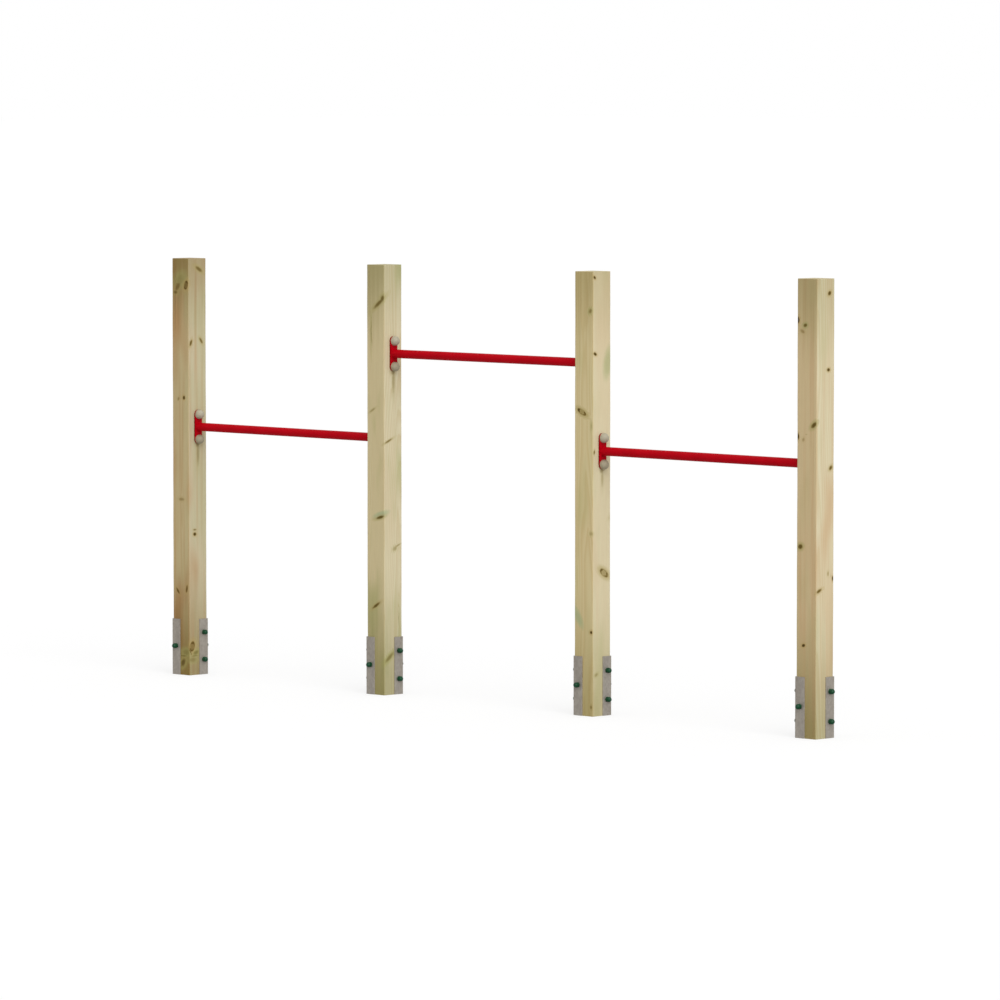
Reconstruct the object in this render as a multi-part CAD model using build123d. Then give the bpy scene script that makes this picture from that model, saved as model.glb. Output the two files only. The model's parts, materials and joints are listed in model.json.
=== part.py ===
from build123d import *
import math
import os

# A row of square timber posts joined by round steel bars at alternating heights.
# Millimetres. X runs along the row, Z is up, and the origin is on the ground,
# midway between the first and the last post.

# Timber posts
POST_COUNT = 4
POST_SIDE = 95.0
POST_HEIGHT = 1675.0
POST_PITCH = 1125.0
POST_ARRIS_RADIUS = 3.0

# Bars: the bays alternate low, high, low
LOW_BAR_HEIGHT = 1000.0
HIGH_BAR_HEIGHT = 1330.0
TUBE_DIAMETER = 33.7
TUBE_WALL = 3.2

# End plates, one at each end of a bar
PLATE_THICKNESS = 8.0
PLATE_WIDTH = 35.0
PLATE_HOLE_SPACING = 100.0
PLATE_EDGE_RADIUS = 0.8
WELD_LEG = 4.0

# Angle irons at two opposite corners of each post
IRON_LEG = 45.0
IRON_THICKNESS = 3.0
IRON_HEIGHT = 225.0
IRON_TOE_RADIUS = 1.5
IRON_HEEL_RADIUS = 0.8
IRON_HOLE_FROM_HEEL = 22.5
IRON_LOWEST_HOLE = 61.0
IRON_HOLE_STEP = 55.0

# Hexagon head coach screws that hold the end plates
PLATE_SCREW_SHANK = 10.0
PLATE_SCREW_FLATS = 17.0
PLATE_SCREW_HEAD = 7.0
PLATE_SCREW_LENGTH = 80.0
PLATE_WASHER_DIAMETER = 24.0
PLATE_WASHER_THICKNESS = 2.0

# Hexagon head coach screws that hold the angle irons
IRON_SCREW_SHANK = 8.0
IRON_SCREW_FLATS = 13.0
IRON_SCREW_HEAD = 5.5
IRON_SCREW_LENGTH = 50.0
IRON_WASHER_DIAMETER = 16.0
IRON_WASHER_THICKNESS = 1.6

# Shape of a coach screw's point and crown, as shares of its shank and head
POINT_LENGTH_SHARE = 0.9
POINT_TIP_SHARE = 0.06
CROWN_DROP_SHARE = 0.18
CROWN_RUN_SHARE = 0.3

# Two-piece grey cap over a plate screw: a base under the head, and a dome snapped on it
CAP_BASE_THICKNESS = 3.0
CAP_LIP_HEIGHT = 3.0
CAP_LIP_WALL = 1.6
CAP_LIP_GAP = 2.75
DOME_WALL = 2.0
DOME_FOOT_SPARE = 0.5
DOME_CROWN_RISE = 16.5

# One-piece green cap pushed over an iron screw's head
GREEN_CAP_WALL = 1.6
GREEN_CAP_HEADROOM = 3.9
GREEN_CAP_CROWN_RISE = 9.0

# Clearances, all on the radius
SCREW_HOLE_CLEARANCE = 0.5
PILOT_CLEARANCE = 0.1
DOME_SNAP_CLEARANCE = 0.15
GREEN_CAP_CLEARANCE = 0.4

# A cutter runs this far past the face that it cuts
CUT_THROUGH = 1.0

POST_HALF = POST_SIDE / 2
PLATE_OUTER = POST_HALF + PLATE_THICKNESS
PLATE_SCREW_SEAT = PLATE_OUTER + CAP_BASE_THICKNESS + PLATE_WASHER_THICKNESS
IRON_OUTER = POST_HALF + IRON_THICKNESS
IRON_SCREW_SEAT = IRON_OUTER + IRON_WASHER_THICKNESS
TUBE_RADIUS = TUBE_DIAMETER / 2
LIP_RADIUS = PLATE_WASHER_DIAMETER / 2 + CAP_LIP_GAP + CAP_LIP_WALL
DOME_RADIUS = LIP_RADIUS + DOME_SNAP_CLEARANCE + DOME_WALL
POST_CENTRES = [(index - (POST_COUNT - 1) / 2) * POST_PITCH for index in range(POST_COUNT)]


def bar_height(bay):
    """The bar's axis above the ground: the bays alternate, starting low."""
    return LOW_BAR_HEIGHT if bay % 2 == 0 else HIGH_BAR_HEIGHT


def rod(radius, start, end):
    """A round rod on the X axis from start to end."""
    upright = Cylinder(radius, end - start, align=(Align.CENTER, Align.CENTER, Align.MIN))
    return Pos(start, 0, 0) * Rot(0, 90, 0) * upright


def collar(outer_radius, inner_radius, start, end):
    """A round collar on the X axis from start to end."""
    bore = rod(inner_radius, start - CUT_THROUGH, end + CUT_THROUGH)
    return rod(outer_radius, start, end) - bore


def export(node, solids, colour):
    """Writes one node's solids to its own file."""
    body = solids[0] if len(solids) == 1 else Compound(children=list(solids))
    body.label = node
    body.color = Color(*colour)
    export_step(body, os.path.join("parts", node + ".step"))


# Where the fasteners sit. Each place is a location whose +X points out of the wood.


def plate_places(post, side, bay):
    """The two screw places of the end plate on one side (+1 or -1) of a post."""
    shifts = (PLATE_HOLE_SPACING / 2, -PLATE_HOLE_SPACING / 2)
    return [bar_end_frame(post, side, bay) * Pos(0, 0, shift) for shift in shifts]


def iron_places(post, corner):
    """The three screw places of the angle iron at corner +1 (+X +Y) or -1 (-X -Y)."""
    centre = POST_CENTRES[post]
    offset = IRON_OUTER - IRON_HOLE_FROM_HEEL
    low, middle, high = [IRON_LOWEST_HOLE + step * IRON_HOLE_STEP for step in range(3)]
    turn = 0 if corner > 0 else 180
    local = [
        Location((0, offset, low), (0, 0, 0)),
        Location((0, offset, high), (0, 0, 0)),
        Location((offset, 0, middle), (0, 0, 90)),
    ]
    frame = Location((centre, 0, 0), (0, 0, turn))
    return [frame * place for place in local]


def bar_end_frame(post, side, bay):
    """The frame of a bar's end: at the post's centre, with +X out of the post along the bar."""
    return Location((POST_CENTRES[post], 0, bar_height(bay)), (0, 0, 0 if side > 0 else 180))


def bar_ends(bay):
    """The post, and the side of it, at the left and the right end of a bay's bar."""
    return [(bay, 1), (bay + 1, -1)]


def post_plates(post):
    """Every (side, bay) at which a bar meets this post."""
    ends = [(end, side, bay) for bay in range(POST_COUNT - 1) for end, side in bar_ends(bay)]
    return [(side, bay) for end, side, bay in ends if end == post]


# Fasteners, each drawn on the X axis with the post's centre at the origin


def coach_screw(seat, shank, flats, head, length):
    """A hexagon head coach screw whose head bears at X = seat."""
    point = shank * POINT_LENGTH_SHARE
    corner_radius = flats / math.sqrt(3)
    hexagon = Rot(0, 90, 0) * extrude(RegularPolygon(corner_radius, 6), head)
    crown = rod(corner_radius, 0, head)
    rim = crown.edges().sort_by(Axis.X)[-1]
    crown = chamfer(rim, head * CROWN_DROP_SHARE, head * CROWN_RUN_SHARE)
    tip = Cone(shank / 2, shank * POINT_TIP_SHARE, point, align=(Align.CENTER, Align.CENTER, Align.MIN))
    tip = Pos(point - length, 0, 0) * Rot(0, -90, 0) * tip
    screw = (hexagon & crown) + rod(shank / 2, point - length, 0) + tip
    return Pos(seat, 0, 0) * screw


def plate_screw():
    return coach_screw(
        PLATE_SCREW_SEAT, PLATE_SCREW_SHANK, PLATE_SCREW_FLATS, PLATE_SCREW_HEAD, PLATE_SCREW_LENGTH
    )


def iron_screw():
    return coach_screw(
        IRON_SCREW_SEAT, IRON_SCREW_SHANK, IRON_SCREW_FLATS, IRON_SCREW_HEAD, IRON_SCREW_LENGTH
    )


def plate_washer():
    hole = PLATE_SCREW_SHANK / 2 + SCREW_HOLE_CLEARANCE
    seat = PLATE_SCREW_SEAT - PLATE_WASHER_THICKNESS
    return collar(PLATE_WASHER_DIAMETER / 2, hole, seat, PLATE_SCREW_SEAT)


def iron_washer():
    hole = IRON_SCREW_SHANK / 2 + SCREW_HOLE_CLEARANCE
    return collar(IRON_WASHER_DIAMETER / 2, hole, IRON_OUTER, IRON_SCREW_SEAT)


def crown_arc(radius, foot_height, height):
    """The arc, centred on the cap's axis, from the rim of the foot to the top of the crown."""
    rise = height - foot_height
    sphere = (radius**2 + rise**2) / (2 * rise)
    centre = height - sphere
    half_turn = math.atan2(radius, foot_height - centre) / 2
    middle = (sphere * math.sin(half_turn), centre + sphere * math.cos(half_turn))
    return ThreePointArc((radius, foot_height), middle, (0, height))


def hollow_dome(radius, wall, foot_height, rise, seat):
    """A hollow cap with its mouth at X = seat: a straight foot under a round crown."""
    inner = radius - wall
    height = foot_height + rise
    inner_height = height - wall
    profile = [
        Line((inner, 0), (radius, 0)),
        Line((radius, 0), (radius, foot_height)),
        crown_arc(radius, foot_height, height),
        Line((0, height), (0, inner_height)),
        crown_arc(inner, foot_height, inner_height),
        Line((inner, foot_height), (inner, 0)),
    ]
    shell = revolve(make_face(profile), Axis.Y, 360)
    return Pos(seat, 0, 0) * Rot(0, 0, -90) * shell


def cap_base():
    """The disc under the screw head, with the lip that the dome snaps over."""
    hole = PLATE_SCREW_SHANK / 2 + SCREW_HOLE_CLEARANCE
    lip_start = PLATE_OUTER + CAP_BASE_THICKNESS
    flange = collar(DOME_RADIUS, hole, PLATE_OUTER, lip_start)
    lip = collar(LIP_RADIUS, LIP_RADIUS - CAP_LIP_WALL, lip_start, lip_start + CAP_LIP_HEIGHT)
    return flange + lip


def grey_dome():
    foot = CAP_LIP_HEIGHT + DOME_FOOT_SPARE
    return hollow_dome(DOME_RADIUS, DOME_WALL, foot, DOME_CROWN_RISE, PLATE_OUTER + CAP_BASE_THICKNESS)


def green_cap():
    head_radius = IRON_SCREW_FLATS / math.sqrt(3)
    inner = max(IRON_WASHER_DIAMETER / 2, head_radius) + GREEN_CAP_CLEARANCE
    foot = IRON_WASHER_THICKNESS + IRON_SCREW_HEAD + GREEN_CAP_HEADROOM
    return hollow_dome(inner + GREEN_CAP_WALL, GREEN_CAP_WALL, foot, GREEN_CAP_CROWN_RISE, IRON_OUTER)


# The main pieces


def make_post(post):
    """A square post with rounded arrises and a blind pilot hole for every screw."""
    section = Rectangle(POST_SIDE, POST_SIDE)
    section = fillet(section.vertices(), POST_ARRIS_RADIUS)
    body = Pos(POST_CENTRES[post], 0, 0) * extrude(section, POST_HEIGHT)
    plate_depth = PLATE_SCREW_SEAT - PLATE_SCREW_LENGTH - CUT_THROUGH
    plate_pilot = rod(PLATE_SCREW_SHANK / 2 + PILOT_CLEARANCE, plate_depth, POST_HALF + CUT_THROUGH)
    iron_depth = IRON_SCREW_SEAT - IRON_SCREW_LENGTH - CUT_THROUGH
    iron_pilot = rod(IRON_SCREW_SHANK / 2 + PILOT_CLEARANCE, iron_depth, POST_HALF + CUT_THROUGH)
    for side, bay in post_plates(post):
        for place in plate_places(post, side, bay):
            body -= place * plate_pilot
    for corner in (1, -1):
        for place in iron_places(post, corner):
            body -= place * iron_pilot
    return body


def make_tube(bay):
    """The round tube between the two plates of a bay."""
    start = POST_CENTRES[bay] + PLATE_OUTER
    end = POST_CENTRES[bay + 1] - PLATE_OUTER
    return Pos(0, 0, bar_height(bay)) * collar(TUBE_RADIUS, TUBE_RADIUS - TUBE_WALL, start, end)


def make_plate(post, side, bay):
    """A round-ended flat plate against the post, with a hole above and below the bar."""
    outline = SlotCenterToCenter(PLATE_HOLE_SPACING, PLATE_WIDTH, rotation=90)
    blank = extrude(outline, PLATE_THICKNESS)
    outer_edges = blank.edges().group_by(Axis.Z)[-1]
    blank = fillet(outer_edges, PLATE_EDGE_RADIUS)
    blank = Pos(POST_HALF, 0, 0) * Plane.YZ.location * blank
    plate = bar_end_frame(post, side, bay) * blank
    hole = rod(PLATE_SCREW_SHANK / 2 + SCREW_HOLE_CLEARANCE, POST_HALF, PLATE_OUTER + CUT_THROUGH)
    for place in plate_places(post, side, bay):
        plate -= place * hole
    return plate


def make_welds(post, side, bay):
    """The fillet weld around the tube's end, as far as the plate's flat face reaches."""
    outer_radius = TUBE_RADIUS + WELD_LEG
    slope = Cone(outer_radius, TUBE_RADIUS, WELD_LEG, align=(Align.CENTER, Align.CENTER, Align.MIN))
    bead = Rot(0, 90, 0) * slope - rod(TUBE_RADIUS, -CUT_THROUGH, WELD_LEG + CUT_THROUGH)
    flat_width = PLATE_WIDTH - 2 * PLATE_EDGE_RADIUS
    bead &= Box(2 * WELD_LEG, flat_width, 2 * outer_radius)
    return (bar_end_frame(post, side, bay) * Pos(PLATE_OUTER, 0, 0) * bead).solids()


def make_iron(post, corner):
    """An angle iron around one corner of a post, with its three screw holes."""
    toe = IRON_OUTER - IRON_LEG
    heel_point = (IRON_OUTER, IRON_OUTER)
    root_point = (POST_HALF, POST_HALF)
    toe_points = [(IRON_OUTER, toe), (toe, IRON_OUTER)]
    outline = [toe_points[0], heel_point, toe_points[1], (toe, POST_HALF), root_point, (POST_HALF, toe)]
    section = make_face(Polyline(*outline, close=True))
    section = round_corner(section, heel_point, IRON_HEEL_RADIUS)
    section = round_corner(section, root_point, POST_ARRIS_RADIUS)
    for toe_point in toe_points:
        section = round_corner(section, toe_point, IRON_TOE_RADIUS)
    turn = 0 if corner > 0 else 180
    iron = Location((POST_CENTRES[post], 0, 0), (0, 0, turn)) * extrude(section, IRON_HEIGHT)
    hole_radius = IRON_SCREW_SHANK / 2 + SCREW_HOLE_CLEARANCE
    hole = rod(hole_radius, POST_HALF - CUT_THROUGH, IRON_OUTER + CUT_THROUGH)
    for place in iron_places(post, corner):
        iron -= place * hole
    return iron


def round_corner(section, point, radius):
    """Rounds the corner of a flat section that lies at a point."""
    corner = section.vertices().sort_by_distance(point)[0]
    return fillet(corner, radius)


PINE = (0.80, 0.72, 0.52)
RED = (0.66, 0.03, 0.08)
ZINC = (0.60, 0.58, 0.54)
GREY = (0.62, 0.60, 0.52)
GREEN = (0.08, 0.26, 0.15)


def write_posts():
    for post in range(POST_COUNT):
        export(f"post_{post + 1}", [make_post(post)], PINE)


def write_bars():
    """Each bar's tube, its two plates, its welds and everything that fixes it."""
    for bay in range(POST_COUNT - 1):
        bar = f"bar_{bay + 1}"
        export(f"{bar}_tube", [make_tube(bay)], RED)
        welds = []
        washers = []
        for (post, side), end in zip(bar_ends(bay), ("left", "right")):
            places = plate_places(post, side, bay)
            export(f"{bar}_{end}_plate", [make_plate(post, side, bay)], RED)
            export(f"{bar}_{end}_screws", [place * plate_screw() for place in places], ZINC)
            export(f"{bar}_{end}_cap_bases", [place * cap_base() for place in places], GREY)
            export(f"{bar}_{end}_cap_domes", [place * grey_dome() for place in places], GREY)
            welds += make_welds(post, side, bay)
            washers += [place * plate_washer() for place in places]
        export(f"{bar}_welds", welds, RED)
        export(f"{bar}_washers", washers, ZINC)


def write_feet():
    """The two angle irons of each post with their screws, washers and caps."""
    for post in range(POST_COUNT):
        name = f"post_{post + 1}"
        places = iron_places(post, 1) + iron_places(post, -1)
        export(f"{name}_back_iron", [make_iron(post, 1)], ZINC)
        export(f"{name}_front_iron", [make_iron(post, -1)], ZINC)
        export(f"{name}_iron_screws", [place * iron_screw() for place in places], ZINC)
        export(f"{name}_iron_washers", [place * iron_washer() for place in places], ZINC)
        export(f"{name}_green_caps", [place * green_cap() for place in places], GREEN)


os.makedirs("parts", exist_ok=True)
write_posts()
write_bars()
write_feet()
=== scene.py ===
# %% [markdown]
# # A row of three turning bars between four timber posts
#
# Children hang from and roll over round bars like these. Each bar is a red painted steel tube, welded to
# a small steel plate at both ends. The plates are screwed to square pine posts, and angle irons at the
# posts' feet stiffen the timber where it meets the ground. Grey and green plastic caps cover the screws.
#
# The solid model comes from a CAD program and arrives as fixed objects, in metres. This lesson keeps the
# pieces whose shape is already right and gives them finishes. It builds the timber and the weld beads
# again as meshes, because those need a surface that a CAD solid doesn't carry: knots, splits and ripples.

# %% Load the fixed frame
import json
import math
import random

import bmesh
import bpy
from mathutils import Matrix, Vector


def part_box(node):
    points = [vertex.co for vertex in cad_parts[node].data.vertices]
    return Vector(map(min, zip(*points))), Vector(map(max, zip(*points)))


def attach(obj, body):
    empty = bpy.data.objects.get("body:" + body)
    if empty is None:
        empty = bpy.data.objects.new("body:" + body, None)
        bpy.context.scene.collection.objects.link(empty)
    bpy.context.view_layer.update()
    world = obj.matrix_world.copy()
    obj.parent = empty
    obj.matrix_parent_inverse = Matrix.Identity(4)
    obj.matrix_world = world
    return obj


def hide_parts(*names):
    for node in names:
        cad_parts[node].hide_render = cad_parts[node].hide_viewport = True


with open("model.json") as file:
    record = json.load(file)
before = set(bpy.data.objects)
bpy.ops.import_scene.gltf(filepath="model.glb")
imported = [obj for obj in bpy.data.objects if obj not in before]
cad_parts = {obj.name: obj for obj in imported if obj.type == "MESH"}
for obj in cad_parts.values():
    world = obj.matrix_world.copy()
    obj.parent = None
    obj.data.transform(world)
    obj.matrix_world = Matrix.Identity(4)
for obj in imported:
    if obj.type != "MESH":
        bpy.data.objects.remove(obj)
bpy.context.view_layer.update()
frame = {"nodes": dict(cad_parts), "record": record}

nodes = frame["nodes"]
slots = {part["node"]: part["material_slot"] for part in frame["record"]["subparts"]}
print("pieces from CAD:", len(nodes), "finishes named:", len(set(slots.values())))

# %% [markdown]
# ## The studio
#
# A product studio gives soft light from all round, a little stronger from above and from one side, and a
# pale floor. The sky of the scene does the soft part: its colour depends only on how high a ray points.
# Below the horizon it is darker, because a real floor gives back less light than the lamps send. A broad
# sun with a very wide disc does the stronger part, and its shadows have no hard edge.
#
# Every finish here is a tree of nodes, and the same few moves come back in each, so they are made first.

# %% Small helpers for node trees


def put(tree, kind, **settings):
    """A new node in this tree, with these settings."""
    node = tree.nodes.new(kind)
    for name, value in settings.items():
        setattr(node, name, value)
    return node


def feed(tree, socket, value):
    """Link a socket to this one, or set this one's number or colour."""
    if isinstance(value, bpy.types.NodeSocket):
        tree.links.new(value, socket)
    else:
        socket.default_value = value


def calc(tree, operation, *values, clamp=False):
    """One step of arithmetic."""
    node = put(tree, "ShaderNodeMath", operation=operation, use_clamp=clamp)
    for socket, value in zip(node.inputs, values):
        feed(tree, socket, value)
    return node.outputs[0]


def parts_of(tree, vector):
    """The X, Y and Z of a vector."""
    node = put(tree, "ShaderNodeSeparateXYZ")
    feed(tree, node.inputs[0], vector)
    return node.outputs


def rise(tree, value, start, end, low=0.0, high=1.0):
    """A smooth step: low before start, high after end."""
    node = put(tree, "ShaderNodeMapRange", interpolation_type="SMOOTHSTEP")
    for socket, number in zip(node.inputs, (value, start, end, low, high)):
        feed(tree, socket, number)
    return node.outputs[0]


def mix(tree, share, first, second, way="MIX"):
    """Two colours, mixed by a share."""
    node = put(tree, "ShaderNodeMix", data_type="RGBA", blend_type=way)
    feed(tree, node.inputs[0], share)
    feed(tree, node.inputs[6], first)
    feed(tree, node.inputs[7], second)
    return node.outputs[2]


print("node helpers ready")

# %% The sky
SKY_LIGHT = 0.78
GROUND_LIGHT = 0.58
FADE_FROM = -0.25
FADE_TO = 0.35
WHITE = (1, 1, 1, 1)

world = bpy.data.worlds.new("studio_sky")
bpy.context.scene.world = world
world.use_nodes = True
sky = world.node_tree
ray_up = parts_of(sky, put(sky, "ShaderNodeTexCoord").outputs["Generated"])[2]
soft = sky.nodes["Background"]
feed(sky, soft.inputs["Strength"], rise(sky, ray_up, FADE_FROM, FADE_TO, GROUND_LIGHT, SKY_LIGHT))
backdrop = put(sky, "ShaderNodeBackground")
chosen = put(sky, "ShaderNodeMixShader")
feed(sky, chosen.inputs[0], put(sky, "ShaderNodeLightPath").outputs["Is Camera Ray"])
soft.inputs["Color"].default_value = WHITE
backdrop.inputs["Color"].default_value = WHITE
sky.links.new(soft.outputs[0], chosen.inputs[1])
sky.links.new(backdrop.outputs[0], chosen.inputs[2])
sky.links.new(chosen.outputs[0], sky.nodes["World Output"].inputs[0])
print("sky from", GROUND_LIGHT, "below to", SKY_LIGHT, "above")

# %% The sun and the floor
SUN_STRENGTH = 1.7
SUN_DISC = math.radians(50)
SUN_FROM = Vector((0.62, -0.28, 0.50))
FLOOR_SIZE = 400.0
FLOOR_GREY = (0.30, 0.30, 0.30, 1)
FLOOR_GLOW = 0.678

sun_data = bpy.data.lights.new("soft_key", "SUN")
sun_data.energy = SUN_STRENGTH
sun_data.angle = SUN_DISC
sun = bpy.data.objects.new("soft_key", sun_data)
sun.rotation_mode = "QUATERNION"
sun.rotation_quaternion = SUN_FROM.to_track_quat("Z", "Y")
bpy.context.scene.collection.objects.link(sun)

half_floor = FLOOR_SIZE / 2
floor_corners = [(x * half_floor, y * half_floor, 0) for x, y in ((-1, -1), (1, -1), (1, 1), (-1, 1))]
floor_mesh = bpy.data.meshes.new("floor")
floor_mesh.from_pydata(floor_corners, [], [(0, 1, 2, 3)])
floor = bpy.data.objects.new("floor", floor_mesh)
bpy.context.scene.collection.objects.link(floor)
floor.visible_diffuse = False
floor.visible_glossy = False
floor_finish = bpy.data.materials.new("studio_floor")
floor_finish.use_nodes = True
pale = floor_finish.node_tree.nodes["Principled BSDF"]
pale.inputs["Base Color"].default_value = FLOOR_GREY
pale.inputs["Roughness"].default_value = 1.0
pale.inputs["Specular IOR Level"].default_value = 0.0
pale.inputs["Emission Color"].default_value = WHITE
pale.inputs["Emission Strength"].default_value = FLOOR_GLOW
floor_mesh.materials.append(floor_finish)
print("sun strength", SUN_STRENGTH, "floor", FLOOR_SIZE, "m across")

# %% [markdown]
# ## The camera
#
# A long lens from far away keeps the posts nearly parallel, which shows the row as a catalogue would. The
# camera stands a little above the middle of the set and looks along a line between its side and its end.

# %% The camera
VIEW_ROUND = math.radians(44.79)
VIEW_UP = math.radians(4.01)
VIEW_FROM = 23.590
LOOK_AT = Vector((0.0713, 0.0, 0.7893))
LENS = 222.2
SENSOR = 36.0

level = math.cos(VIEW_UP)
toward_camera = Vector((math.sin(VIEW_ROUND) * level, -math.cos(VIEW_ROUND) * level, math.sin(VIEW_UP)))
camera_data = bpy.data.cameras.new("camera")
camera_data.sensor_width = SENSOR
camera_data.lens = LENS
camera_data.clip_end = 1000
camera = bpy.data.objects.new("camera", camera_data)
camera.location = LOOK_AT + toward_camera * VIEW_FROM
camera.rotation_mode = "QUATERNION"
camera.rotation_quaternion = toward_camera.to_track_quat("Z", "Y")
bpy.context.scene.collection.objects.link(camera)
bpy.context.scene.camera = camera
bpy.context.scene.view_settings.view_transform = "Standard"
print("camera at", [round(value, 2) for value in camera.location])

# %% [markdown]
# ## Timber: where the knots and splits are
#
# A knot is the foot of a branch that the trunk grew round. Sawing cuts each one somewhere else: straight
# across it leaves a small dark disc, at a slant an oval with a dark bark ring, and along it a long spike.
# So each knot here has a place on one face of its post, a half length and half width, a slant, and three
# looks: how dark, how much of a ring, and how green the preservative made the wood round it, where a value
# over 1 turns from olive to blue-green. Not every entry is a branch. The upright ones on face 1 under the
# plates are painted shadows of the lower screw caps, and the palest are patches of preservative.
#
# Faces are numbered in the order the tape goes round: 0 looks to -Y, 1 to +X, 2 to +Y, 3 to -X. Across is
# from the middle of the face, in the direction of the tape. All in millimetres and degrees.

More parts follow.
